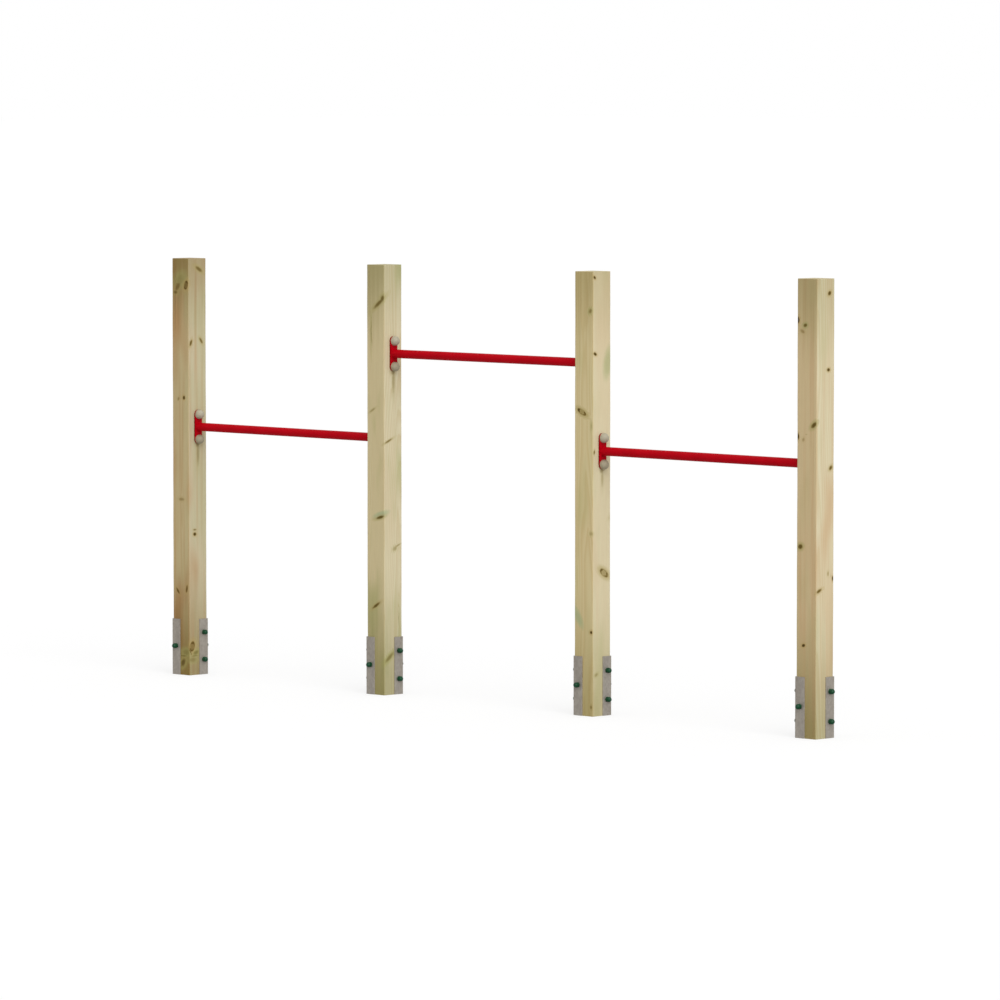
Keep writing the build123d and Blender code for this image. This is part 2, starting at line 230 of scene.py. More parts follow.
# %% Knots and splits
# post: (face, across, height, half length, half width, slant, dark, ring, green)
KNOTS_STAINS_AND_SHADOWS = {
    1: [
        (0, 34, 1569, 17, 11, 72, 1.0, 0.7, 0.1), (0, -16, 1562, 19, 11, 50, 0.5, 0.3, 0.3),
        (0, -28, 1539, 12, 8, 0, 0.45, 0.0, 0.4), (0, 20, 1117, 8, 7, 90, 0.95, 0.1, 0.0),
        (0, 3, 708, 15, 7, 0, 0.35, 0.2, 0.1), (0, 33, 348, 15, 6, 80, 0.65, 0.2, 0.1),
        (0, -20, 338, 15, 6, -50, 0.6, 0.1, 0.1), (0, 10, 50, 20, 12, 60, 0.5, 0.0, 0.8),
        (1, 10, 1632, 20, 8, -32, 0.5, 0.1, 0.5), (1, -35, 1337, 13, 6, 70, 0.7, 0.2, 0.3),
        (1, 21, 1345, 14, 6, -55, 0.6, 0.2, 0.3), (1, -17, 568, 8, 7, 0, 0.95, 0.0, 0.0),
        (1, -17, 586, 9, 4, 0, 0.45, 0.0, 0.0), (1, -32, 116, 19, 13, 74, 1.0, 0.85, 0.2),
        (1, -12, 90, 15, 9, 20, 0.3, 0.0, 1.0), (0, 28, 92, 20, 12, 0, 0.2, 0.0, 0.9),
        # The upright entries on face 1 at heights 890 and 927 are painted shadows under the lower screw
        # cap.
        (1, -30, 62, 20, 10, 0, 0.2, 0.0, 0.7), (1, 2, 890, 46, 7, 90, 0.24, 0.0, 0.2),
        (0, -13, 1112, 9, 6, 60, 0.3, 0.0, 0.1), (0, 0, 1590, 26, 20, 30, 0.12, 0.0, 0.8),
        (1, 1, 927, 12, 9, 90, 0.28, 0.0, 0.2),
        (2, -12, 1240, 9, 8, 0, 0.8, 0.2, 0.1),
        (2, 20, 700, 22, 7, 35, 0.6, 0.2, 0.3), (3, 15, 1010, 8, 7, 0, 0.9, 0.0, 0.1),
        (3, -20, 420, 18, 9, -40, 0.6, 0.9, 0.2),
    ],
    2: [
        (0, 19, 1527, 36, 8, 37, 0.55, 0.1, 0.6), (0, -18, 1110, 18, 4, 30, 0.3, 0.1, 0.3),
        (0, 24, 694, 22, 6, 15, 0.70, 0.1, 0.9), (0, 30, 705, 24, 7, 15, 0.02, 0.0, 1.7),
        (0, 2, 349, 24, 6, 32, 0.7, 0.1, 0.2), (1, -24, 991, 22, 4, 24, 0.5, 0.1, 0.4),
        (1, 10, 571, 12, 8, 30, 0.25, 0.0, 0.4), (1, 26, 582, 14, 4, 25, 0.3, 0.0, 0.3),
        # The upright entries on face 1 at heights 1222 and 1257 are painted shadows under the lower screw
        # cap.
        (1, -20, 147, 29, 9, 39, 0.35, 0.0, 1.0), (1, 3, 1222, 48, 7, 90, 0.24, 0.0, 0.3),
        (2, 22, 1420, 9, 8, 0, 0.85, 0.2, 0.2), (2, -20, 880, 24, 7, -30, 0.6, 0.2, 0.2),
        (3, -8, 1190, 9, 7, 0, 0.85, 0.1, 0.1), (0, 38, 1545, 14, 10, 60, 0.5, 0.0, 0.8),
        (1, 1, 1257, 13, 9, 90, 0.30, 0.0, 0.2), (0, -24, 1415, 55, 4, 90, 0.25, 0.0, 0.6),
        (1, 31, 288, 50, 3, 90, 0.40, 0.0, 0.4), (3, 12, 560, 20, 8, 35, 0.6, 0.9, 0.3),
    ],
    3: [
        (0, 33, 1527, 10, 8, 60, 0.35, 0.0, 0.8), (0, -11, 1147, 22, 9, -25, 1.0, 1.0, 0.7),
        (0, 39, 1095, 14, 4, 90, 0.15, 0.0, 0.6), (0, 39, 690, 9, 7, 0, 0.2, 0.0, 0.4),
        (0, 39, 318, 6, 6, 0, 0.95, 0.0, 0.0), (0, -30, 374, 26, 9, -58, 0.04, 0.0, 1.6),
        (0, 39, 35, 8, 6, 90, 0.38, 0.0, 0.2), (1, -40, 1653, 7, 5, -50, 0.9, 0.0, 0.0),
        (1, -36, 1366, 9, 6, -25, 0.9, 0.0, 0.0), (1, 33, 1332, 34, 13, 80, 0.03, 0.0, 1.3),
        (1, -40, 997, 8, 4, 80, 0.5, 0.0, 0.5), (1, 13, 540, 23, 12, -33, 0.9, 1.0, 0.6),
        # The upright entries on face 1 at heights 897 and 927 are painted shadows under the lower screw
        # cap.
        (1, -28, 157, 10, 6, 30, 0.25, 0.0, 0.4), (1, 3, 897, 32, 7, 90, 0.20, 0.0, 0.2),
        (2, 5, 1480, 8, 7, 0, 0.85, 0.0, 0.1),
        (2, -25, 760, 22, 9, 30, 0.6, 0.9, 0.3), (3, 25, 1300, 9, 7, 0, 0.8, 0.2, 0.1),
        (3, -15, 640, 24, 6, -30, 0.6, 0.1, 0.3), (1, 1, 927, 12, 9, 90, 0.28, 0.0, 0.2),
    ],
    4: [
        (0, -43, 1524, 12, 6, 90, 0.95, 0.0, 0.1), (0, -9, 1506, 9, 7, 20, 0.6, 0.1, 1.3),
        (0, -23, 1484, 12, 7, -25, 0.3, 0.0, 0.1), (0, 34, 1145, 15, 8, 40, 0.75, 0.1, 1.2),
        (0, -43, 1101, 12, 5, 90, 0.95, 0.0, 0.1), (0, -17, 1090, 8, 6, 60, 0.25, 0.0, 0.1),
        (0, -30, 700, 11, 9, 20, 0.75, 0.1, 1.1), (0, -13, 340, 8, 6, 20, 0.95, 0.0, 0.1),
        (1, 20, 1622, 9, 7, 45, 0.85, 0.1, 0.3), (1, 16, 1344, 8, 6, 0, 0.9, 0.0, 0.2),
        (1, 30, 987, 10, 7, 40, 0.7, 0.1, 0.4), (1, 42, 583, 9, 4, 90, 0.9, 0.0, 0.0),
        (1, -31, 541, 15, 6, 25, 0.65, 0.1, 0.2), (1, 17, 602, 9, 5, 90, 0.25, 0.0, 0.2),
        (2, -18, 1380, 9, 8, 0, 0.85, 0.1, 0.2), (2, 15, 610, 22, 9, -35, 0.6, 0.9, 0.3),
        (3, 10, 1150, 8, 7, 0, 0.85, 0.0, 0.1), (3, -25, 480, 20, 8, 30, 0.6, 0.2, 0.3),
    ],
}

# post: (face, across, lowest, highest, width, depth) of each drying split
SPLITS = {
    1: [(0, -28, 1330, 1640, 1.1, 6), (2, 6, 300, 820, 1.6, 9), (3, 24, 900, 1380, 1.2, 7)],
    2: [(0, -22, 1345, 1470, 1.2, 6), (1, 31, 232, 345, 0.9, 5), (2, -9, 640, 1250, 1.5, 9)],
    3: [(2, 20, 380, 1010, 1.4, 8), (3, -4, 1060, 1560, 1.5, 9)],
    4: [(2, -14, 720, 1290, 1.4, 8), (3, 16, 260, 700, 1.2, 7)],
}
for title, table in (("knots", KNOTS_STAINS_AND_SHADOWS), ("splits", SPLITS)):
    print(title, [len(table[number]) for number in table])

# %% [markdown]
# ## Timber: the mesh of a post
#
# A post could be a box with a bevel, but then a split would be only painted on. Here a tape runs round the
# post's section, with stations on the flats and on the rounded corners, and a copy of it stands every few
# millimetres up the post. Where a split runs, three stations move together and the middle one sinks into
# the wood, so the split is a real groove. The rounded corners wander a little, as a planer leaves them.

# %% Stations round a post
MM = 0.001
post_low, post_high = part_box("post_1")
POST_HALF = (post_high.x - post_low.x) / 2
ARRIS = 3.0 * MM
FLAT_STEPS = 24
CORNER_STEPS = 4
RING_STEP = 8 * MM
END_CHAMFER = 0.8 * MM
FACE_TURNS = ((1, 0, 0, -1), (0, 1, 1, 0), (-1, 0, 0, 1), (0, -1, -1, 0))


def stations(half):
    """Round the section: the face, how far across it, the turn into a corner, and flat or corner."""
    tape = []
    for face in range(4):
        for step in range(FLAT_STEPS + 1):
            across = (half - ARRIS) * (2 * step / FLAT_STEPS - 1)
            tape.append((face, across, 0.0, "flat"))
        for step in range(1, CORNER_STEPS):
            turn = math.pi / 2 * step / CORNER_STEPS
            tape.append((face, half - ARRIS, turn, "corner"))
    return tape


def station_point(half, station, arris, sink, shift):
    """Where one station is, in the post's own section."""
    face, across, turn, kind = station
    along_x, along_y, out_x, out_y = FACE_TURNS[face]
    if kind == "flat":
        reach = across * (half - arris) / (half - ARRIS) + shift
        out = half - sink
    else:
        reach = half - arris + arris * math.sin(turn)
        out = half - arris + arris * math.cos(turn)
    return (along_x * reach + out_x * out, along_y * reach + out_y * out)


def tape_place(half, station):
    """How far round the tape a station is, counted along flat faces."""
    face, across, turn, kind = station
    on_face = across if kind == "flat" else across + 2 * ARRIS * turn / (math.pi / 2)
    return face * 2 * half + half + on_face


tape = stations(POST_HALF)
print("stations round a post:", len(tape))

# %% How a split pulls the tape


def split_shape(split, z, wander):
    """Half width, depth and sideways wander of a split at height z, or None."""
    low, high, width, depth = split[2:]
    share = (z / MM - low) / (high - low)
    if not 0 < share < 1:
        return None
    fade = math.sin(math.pi * share) ** 0.6
    bend = 1.1 * MM * math.sin(share * 9 + wander) + 0.5 * MM * math.sin(share * 31 + wander * 2)
    return width * MM * fade / 2, depth * MM * fade, bend


def nearest_station(face, across):
    """The index of the flat station nearest to a place across a face."""
    found = [(abs(s[1] - across), i) for i, s in enumerate(tape) if s[0] == face and s[3] == "flat"]
    return min(found)[1]


def pulled(cuts, index, z, half, arris):
    """How deep and how far sideways the splits pull a station at height z."""
    sink = 0.0
    shift = 0.0
    for middle, split, wander in cuts:
        shape = split_shape(split, z, wander)
        if shape is None or abs(index - middle) > 1:
            continue
        half_width, depth, bend = shape
        target = split[1] * MM + bend + (index - middle) * half_width
        shift = target - tape[index][1] * (half - arris) / (half - ARRIS)
        sink = depth if index == middle else 0.0
    return sink, shift


print("first split of post 1 starts at station", nearest_station(0, SPLITS[1][0][1] * MM))

# %% [markdown]
# A knot is too fine to model, but the finish has to know where it is, and the posts have no picture wrapped
# round them. So each vertex carries a reading: how far it is from the nearest knot's heart, counted in the
# knot's own half length and half width. The finish draws the oval from that, sharp between the vertices.
# Two knots that nearly touch would spoil each other's reading, so the list is dealt into two sets.

# %% Knots written on the vertices
READING_END = 3.2
READING_FADE = 2.4


def knot_reading(knot, half, place, z):
    """How far a point is from a knot's heart, in its own half length and half width."""
    face, across, height, long_half, short_half, slant = knot[:6]
    girth = 8 * half
    side = place - (face * 2 * half + half + across * MM)
    side = (side + girth / 2) % girth - girth / 2
    rise_up = z - height * MM
    lean = math.radians(slant)
    along = side * math.cos(lean) + rise_up * math.sin(lean)
    over = rise_up * math.cos(lean) - side * math.sin(lean)
    return along / (long_half * MM), over / (short_half * MM)


def write_knots(mesh, name, knots, half, places):
    """For each vertex, its reading from the nearest of these knots, and that knot's looks."""
    readings = []
    looks = []
    for place, z in places:
        found = []
        for knot in knots:
            along, over = knot_reading(knot, half, place, z)
            found.append((math.hypot(along, over), along, over, knot[6:9]))
        far, along, over, look = min(found)
        near = min(1.0, max(0.0, (READING_END - far) / (READING_END - READING_FADE)))
        readings.extend((along, over, near))
        looks.extend(look)
    for kind, values in (("_reading", readings), ("_looks", looks)):
        layer = mesh.attributes.new(name + kind, "FLOAT_VECTOR", "POINT")
        layer.data.foreach_set("vector", values)


print("a knot is felt as far as", READING_END, "times its own size")

# %% Rings of points up a post and across its top
TOP_RINGS = 9


def post_rings(half, height):
    """Each ring's height, its size, and how far in from the edge it lies on the top."""
    ends = 1 - END_CHAMFER / half
    straight = height - 2 * END_CHAMFER
    count = round(straight / RING_STEP)
    rings = [(0.0, ends, 0)]
    rings += [(END_CHAMFER + straight * i / count, 1.0, 0) for i in range(count + 1)]
    rings += [(height, ends * (1 - ring / TOP_RINGS), half * ring / TOP_RINGS) for ring in range(TOP_RINGS)]
    return rings


def wandering_arris(z, slow, fast):
    """The radius of a rounded corner at a height."""
    return ARRIS * (1 + 0.22 * math.sin(z * 7 + slow) + 0.12 * math.sin(z * 31 + fast))


def skin(rings, around):
    """Four-sided faces between the rings, and one face over each end."""
    faces = []
    for ring in range(rings - 1):
        for index in range(around):
            after = (index + 1) % around
            faces.append((ring * around + index, ring * around + after,
                          (ring + 1) * around + after, (ring + 1) * around + index))
    faces.append(tuple(range(around - 1, -1, -1)))
    faces.append(tuple(range((rings - 1) * around, rings * around)))
    return faces


print("rings in a post:", len(post_rings(POST_HALF, post_high.z - post_low.z)))

# %% The four posts
CREASE = math.radians(38)


def post_points(number, half, height):
    """Where a post's vertices are, and where each lies on the tape and up the post."""
    chance = random.Random(number)
    wanders = [chance.uniform(0, 6) for _ in range(12)]
    cuts = [(nearest_station(s[0], s[1] * MM), s, wanders[i]) for i, s in enumerate(SPLITS[number])]
    points = []
    places = []
    for z, size, pull in post_rings(half, height):
        for index, station in enumerate(tape):
            corner = station[0]
            arris = wandering_arris(z, wanders[corner], wanders[corner + 4])
            sink, shift = pulled(cuts, index, z, half, arris)
            x, y = station_point(half, station, arris, sink, shift)
            points.append((x * size, y * size, z))
            places.append((tape_place(half, station), z + pull))
    return points, places


def smooth_with_creases(mesh):
    """Smooth shading, left sharp where two faces meet at a real corner."""
    shaped = bmesh.new()
    shaped.from_mesh(mesh)
    for face in shaped.faces:
        face.smooth = True
    for edge in shaped.edges:
        if len(edge.link_faces) == 2 and edge.calc_face_angle() > CREASE:
            edge.smooth = False
    shaped.to_mesh(mesh)
    shaped.free()


def make_post(number):
    """The mesh of one post, standing at its own place."""
    low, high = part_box(f"post_{number}")
    half = (high.x - low.x) / 2
    points, places = post_points(number, half, high.z - low.z)
    mesh = bpy.data.meshes.new(f"post_{number}_timber")
    mesh.from_pydata(points, [], skin(len(points) // len(tape), len(tape)))
    write_knots(mesh, "odd", KNOTS_STAINS_AND_SHADOWS[number][0::2], half, places)
    write_knots(mesh, "even", KNOTS_STAINS_AND_SHADOWS[number][1::2], half, places)
    smooth_with_creases(mesh)
    post = bpy.data.objects.new(f"post_{number}_timber", mesh)
    bpy.context.scene.collection.objects.link(post)
    post.location = ((low.x + high.x) / 2, (low.y + high.y) / 2, low.z)
    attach(post, "root")
    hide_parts(f"post_{number}")
    return post


posts = [make_post(number) for number in range(1, 5)]
print("post mesh:", len(posts[0].data.vertices), "vertices each")

# %% [markdown]
# ## Weld beads
#
# The tube meets its plate at a right angle, and a welder runs one bead over the top and one underneath.
# A bead laid by hand is a row of overlapping puddles, so its size swells and shrinks every few
# millimetres. Paint softens the ripples and doesn't hide them. Each bead is a small rounded triangle,
# swept round the tube, with that rhythm in its size and a taper at both ends.

# %% One rippled weld bead
WELD_LEG = 4.0 * MM
RIPPLE = 2.4 * MM
BEAD_START = math.radians(35)
BEAD_STEPS = 120
BEAD_ROUND = 8
INTO_TUBE = 0.3 * MM
INTO_PLATE = 0.2 * MM
ROOT_DEPTH = 0.6 * MM


def bar_height(bay):
    """The height of the middle of a bar."""
    low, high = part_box(f"bar_{bay}_tube")
    return (low.z + high.z) / 2


def bead_size(share, length, phase):
    """The bead's leg at a share of its way round: rippled, and tapered at both ends."""
    ripple = 0.07 * abs(math.sin(math.pi * length / RIPPLE + phase)) + 0.04 * math.sin(length * 310 + phase)
    taper = min(1.0, 12 * share, 12 * (1 - share)) ** 0.5
    return WELD_LEG * (0.90 + ripple) * max(taper, 0.05)


def add_bead(shaped, plate_x, direction, height, radius, upper, chance):
    """One bead on one side of the tube, on the plate whose outer face is at plate_x."""
    rows = []
    sweep = math.pi - 2 * BEAD_START
    phase = chance.uniform(0, 6)
    for step in range(BEAD_STEPS + 1):
        share = step / BEAD_STEPS
        angle = BEAD_START + sweep * share
        leg = bead_size(share, radius * sweep * share, phase)
        row = []
        for turn in range(BEAD_ROUND + 1):
            swing = math.pi / 2 * turn / BEAD_ROUND
            bulge = 0.80 + 0.20 * math.cos(4 * (swing - math.pi / 4) / 2) ** 2
            out = leg * math.cos(swing) * bulge
            rise_up = leg * math.sin(swing) * bulge
            reach = radius - INTO_TUBE + rise_up
            side = reach * math.cos(angle)
            up = reach * math.sin(angle) * (1 if upper else -1)
            row.append(shaped.verts.new((plate_x + direction * (out - INTO_PLATE), side, height + up)))
        hidden = radius - ROOT_DEPTH
        side = hidden * math.cos(angle)
        up = hidden * math.sin(angle) * (1 if upper else -1)
        row.append(shaped.verts.new((plate_x - direction * INTO_TUBE, side, height + up)))
        rows.append(row)
    for first, second in zip(rows, rows[1:]):
        for turn in range(len(first)):
            after = (turn + 1) % len(first)
            face = shaped.faces.new((first[turn], first[after], second[after], second[turn]))
            face.smooth = True
    shaped.faces.new(rows[0])
    shaped.faces.new(list(reversed(rows[-1])))


print("a bead's leg is", WELD_LEG / MM, "mm and a ripple", RIPPLE / MM, "mm")

# %% The four beads of each bar


def make_beads(bay):
    """All four beads of one bar as one piece."""
    low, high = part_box(f"bar_{bay}_tube")
    radius = (high.y - low.y) / 2
    height = bar_height(bay)
    chance = random.Random(40 + bay)
    shaped = bmesh.new()
    for plate_x, direction in ((low.x, 1), (high.x, -1)):
        for upper in (True, False):
            add_bead(shaped, plate_x, direction, height, radius, upper, chance)
    bmesh.ops.recalc_face_normals(shaped, faces=shaped.faces[:])
    mesh = bpy.data.meshes.new(f"bar_{bay}_weld_beads")
    shaped.to_mesh(mesh)
    shaped.free()
    beads = bpy.data.objects.new(f"bar_{bay}_weld_beads", mesh)
    bpy.context.scene.collection.objects.link(beads)
    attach(beads, "root")
    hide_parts(f"bar_{bay}_welds")
    return beads


beads = [make_beads(bay) for bay in range(1, 4)]
print("weld beads:", len(beads[0].data.vertices), "vertices on each bar")

# %% [markdown]
# ## The finish of treated pine
#
# Pine has growth rings: a pale band each spring and a narrow darker one each summer. They are nested tubes
# round the tree's heart, so the pattern is worked out in the solid and not on the surface. Sawing then
# shows it by itself: arcs on the sawn top, straight lines on one face and long flames on the next. Round a
# knot the tubes swing outwards. Over the rings lie three slower things: long streaks of warmer wood,
# greenish patches where the preservative went in, and darker ends. The face that looks to -Y is tinted
# darker, and its ends are darker still, than the other three on every post: that is painted shade.

# %% Colours and shared patterns


def paint(red, green, blue):
    """A colour as mixed for a screen, 0 to 255, made linear."""
    linear = []
    for value in (red, green, blue):
        share = value / 255
        linear.append(share / 12.92 if share <= 0.04045 else ((share + 0.055) / 1.055) ** 2.4)
    return (*linear, 1.0)


def scaled(tree, coordinates, size, offset=(0, 0, 0)):
    """Coordinates stretched by a size in each direction, and moved."""
    node = put(tree, "ShaderNodeMapping")
    feed(tree, node.inputs["Vector"], coordinates)
    node.inputs["Location"].default_value = offset
    node.inputs["Scale"].default_value = size
    return node.outputs[0]


def cloud(tree, coordinates, detail=2.0, rough=0.5, scale=1.0):
    """A soft random value from 0 to 1."""
    node = put(tree, "ShaderNodeTexNoise")
    feed(tree, node.inputs["Vector"], coordinates)
    node.inputs["Scale"].default_value = scale
    node.inputs["Detail"].default_value = detail
    node.inputs["Roughness"].default_value = rough
    return node.outputs[0]


def new_finish(name):
    """An empty finish: the material, its tree, its shader, and where a point is on the piece, in metres."""
    material = bpy.data.materials.new(name)
    material.use_nodes = True
    tree = material.node_tree
    place = put(tree, "ShaderNodeTexCoord").outputs["Object"]
    return material, tree, tree.nodes["Principled BSDF"], place


def reach_of(tree, first, second):
    """How far apart two ends are, from their distances in two directions at right angles."""
    squares = [calc(tree, "MULTIPLY", value, value) for value in (first, second)]
    return calc(tree, "SQRT", calc(tree, "ADD", *squares))


def bump(tree, height, strength, distance, under=None):
    """Fine relief from a height value."""
    node = put(tree, "ShaderNodeBump")
    node.inputs["Strength"].default_value = strength
    node.inputs["Distance"].default_value = distance
    feed(tree, node.inputs["Height"], height)
    if under is not None:
        feed(tree, node.inputs["Normal"], under)
    return node.outputs[0]


print("pale wood, made linear:", [round(value, 3) for value in paint(214, 204, 171)[:3]])

# %% [markdown]
# A knot's reading turns into looks in the same way for both sets. Near its heart it is dark all over, or it
# is a ring of bark with a pale middle. The ring is broken in places and stronger at its two tips. Round it
# the wood is a little darker, and olive or blue-green where the preservative went in. The painted shadows
# under the screw caps go through the same steps, as long dark ovals.

# %% Knots as the finish sees them
HEART_EDGE = (0.35, 1.35)
BARK_AT = 0.85
BARK_WIDTH = 0.45
HALO_EDGE = (0.8, 2.6)


def knot_layer(tree, name, blur):
    """From one set of knots: dark heart, ring swing and halo, green, and blue-green, all 0 to 1."""
    reading = put(tree, "ShaderNodeAttribute", attribute_name=name + "_reading").outputs["Vector"]
    looks = put(tree, "ShaderNodeAttribute", attribute_name=name + "_looks").outputs["Vector"]
    along, over, near = parts_of(tree, reading)
    darkness, ring, greenness = parts_of(tree, looks)
    far = calc(tree, "ADD", reach_of(tree, along, over), blur)
    heart = rise(tree, far, *HEART_EDGE, 1.0, 0.0)
    edge = calc(tree, "ABSOLUTE", calc(tree, "SUBTRACT", far, BARK_AT))
    bark = rise(tree, edge, 0.0, BARK_WIDTH, 1.0, 0.0)
    along_share = calc(tree, "DIVIDE", calc(tree, "MULTIPLY", along, along),
                       calc(tree, "MULTIPLY_ADD", far, far, 0.01))
    tips = rise(tree, along_share, 0.1, 0.9, 0.45, 1.0)
    broken = rise(tree, blur, -0.09, 0.06, 0.45, 1.0)
    bark = calc(tree, "MULTIPLY", bark, calc(tree, "MULTIPLY", tips, broken))
    ringed = calc(tree, "MAXIMUM", bark, calc(tree, "MULTIPLY", heart, 0.22))
    solid_part = calc(tree, "MULTIPLY", heart, calc(tree, "SUBTRACT", 1.0, ring))
    shape = calc(tree, "ADD", solid_part, calc(tree, "MULTIPLY", ringed, ring))
    dark = calc(tree, "MULTIPLY", calc(tree, "MULTIPLY", shape, darkness), near)
    halo = calc(tree, "MULTIPLY", rise(tree, far, *HALO_EDGE, 1.0, 0.0), near)
    green = calc(tree, "MULTIPLY", halo, calc(tree, "MINIMUM", greenness, 1.0))
    blue = calc(tree, "MULTIPLY", halo, rise(tree, greenness, 1.0, 2.0))
    halo = calc(tree, "MULTIPLY", halo, darkness)
    return dark, halo, green, blue


def all_knots(tree, blur):
    """Dark, halo, green and blue-green of both sets together."""
    sets = [knot_layer(tree, name, blur) for name in ("odd", "even")]
    return [calc(tree, "MAXIMUM", first, second) for first, second in zip(*sets)]


print("bark ring at", BARK_AT, "of a knot's size")

# %% Growth rings and soaked ends
RING_WIDTH = 3.6 * MM
RING_BEND = 0.030
KNOT_SWING = 0.010
LEAN = (0.010, -0.007)
# Spans, in metres, over which the foot and the top of a post turn darker.
FOOT_DARK_SPAN = (-0.05, 0.55)
TOP_DARK_SPAN = (-0.35, 0.02)


def summer_rings(tree, parts, heart, bend, halo):
    """The dark line that ends each year's ring, 0 to 1. The heart leans, and knots push the rings out."""
    offsets = []
    for axis in range(2):
        lean = calc(tree, "MULTIPLY_ADD", parts[2], LEAN[axis], -heart[axis])
        offsets.append(calc(tree, "ADD", parts[axis], lean))
    from_heart = calc(tree, "ADD", reach_of(tree, *offsets), calc(tree, "MULTIPLY", halo, KNOT_SWING))
    from_heart = calc(tree, "MULTIPLY_ADD", bend, RING_BEND, from_heart)
    year = calc(tree, "FRACT", calc(tree, "DIVIDE", from_heart, RING_WIDTH))
    return calc(tree, "MULTIPLY", rise(tree, year, 0.25, 0.85), rise(tree, year, 0.90, 1.0, 1.0, 0.0))


def darker_ends_and_side_shade(tree, up, streak, shaded, top_dark_and_shade, foot_dark_and_shade, height):
    """How much the foot and the top are darker, 0 to 1, and more on the face that looks to -Y, as painted
    shade.
    """
    wavy_up = calc(tree, "MULTIPLY_ADD", calc(tree, "SUBTRACT", streak, 0.5), 0.25, up)
    foot_share = calc(tree, "MULTIPLY_ADD", shaded, 0.24 * foot_dark_and_shade, 0.52 * foot_dark_and_shade)
    foot = calc(tree, "MULTIPLY", rise(tree, wavy_up, *FOOT_DARK_SPAN, 1.0, 0.0), foot_share)
    top_share = calc(tree, "MULTIPLY_ADD", shaded, 0.30 * top_dark_and_shade, 0.45 * top_dark_and_shade)
    low, high = (height + edge for edge in TOP_DARK_SPAN)
    top = calc(tree, "MULTIPLY", rise(tree, wavy_up, low, high), top_share)
    return calc(tree, "MAXIMUM", foot, top)


print("rings", RING_WIDTH / MM, "mm apart")

# %% The colours of one post
SAPWOOD = paint(214, 204, 171)
SUMMER_WOOD = paint(189, 165, 112)
WARM_WOOD = paint(196, 160, 118)
GREEN_WOOD = paint(184, 182, 134)
GREEN_END = paint(158, 164, 110)
BROWN_END = paint(172, 158, 96)
YELLOW_END = paint(166, 162, 98)
# The two side tints are painted shade for the face that looks to -Y; the second one is pinker.
SIDE_SHADE_TINT = paint(246, 236, 208)
PINK_SIDE_SHADE = paint(244, 231, 215)
BLUE_GREEN = paint(160, 186, 160)
KNOT_GREEN = paint(150, 156, 92)
KNOT_HALO = paint(176, 150, 88)
KNOT_OLIVE = paint(178, 160, 88)
KNOT_HEART = paint(60, 46, 10)


def sound_wood(tree, place, number, offset, streak, summer, warm, green):
    """The colour of the wood between its knots: rings, warm streaks and green patches."""
    broad = cloud(tree, scaled(tree, place, (7, 7, 1.7), offset), 2.0, 0.5)
    patch = cloud(tree, scaled(tree, place, (11, 11, 2.6), (5.1, number * 2.1, 0.4)), 2.0, 0.55)
    colour = mix(tree, calc(tree, "MULTIPLY", summer, 0.31), SAPWOOD, SUMMER_WOOD)
    warm_share = calc(tree, "MULTIPLY", rise(tree, streak, 0.40, 0.85), warm)
    warm_broad = calc(tree, "MULTIPLY", rise(tree, broad, 0.45, 0.70), warm)
    colour = mix(tree, calc(tree, "MAXIMUM", warm_share, warm_broad), colour, WARM_WOOD)
    return mix(tree, calc(tree, "MULTIPLY", rise(tree, patch, 0.46, 0.72), green), colour, GREEN_WOOD)


def toned(tree, colour, fibre, shade):
    """The colour, darker or lighter from fibre to fibre."""
    tint = put(tree, "ShaderNodeCombineColor")
    tone = calc(tree, "MULTIPLY_ADD", fibre, 0.22, shade - 0.11)
    for socket in tint.inputs:
        feed(tree, socket, tone)
    return mix(tree, 1.0, colour, tint.outputs[0], "MULTIPLY")


def with_knots(tree, colour, dark, halo, green_spot, blue_spot):
    """The colour with the knots and the stains round them."""
    colour = mix(tree, calc(tree, "MULTIPLY", green_spot, 0.50), colour, KNOT_GREEN)
    colour = mix(tree, calc(tree, "MULTIPLY", blue_spot, 0.42), colour, BLUE_GREEN)
    colour = mix(tree, calc(tree, "MULTIPLY", halo, 0.50), colour, KNOT_HALO)
    colour = mix(tree, calc(tree, "MULTIPLY", dark, 1.7, clamp=True), colour, KNOT_OLIVE, "MULTIPLY")
    return mix(tree, calc(tree, "POWER", dark, 1.6), colour, KNOT_HEART)


print("a greened end keeps", [round(value, 2) for value in GREEN_END[:3]], "of the light")

# %% One finish for each post


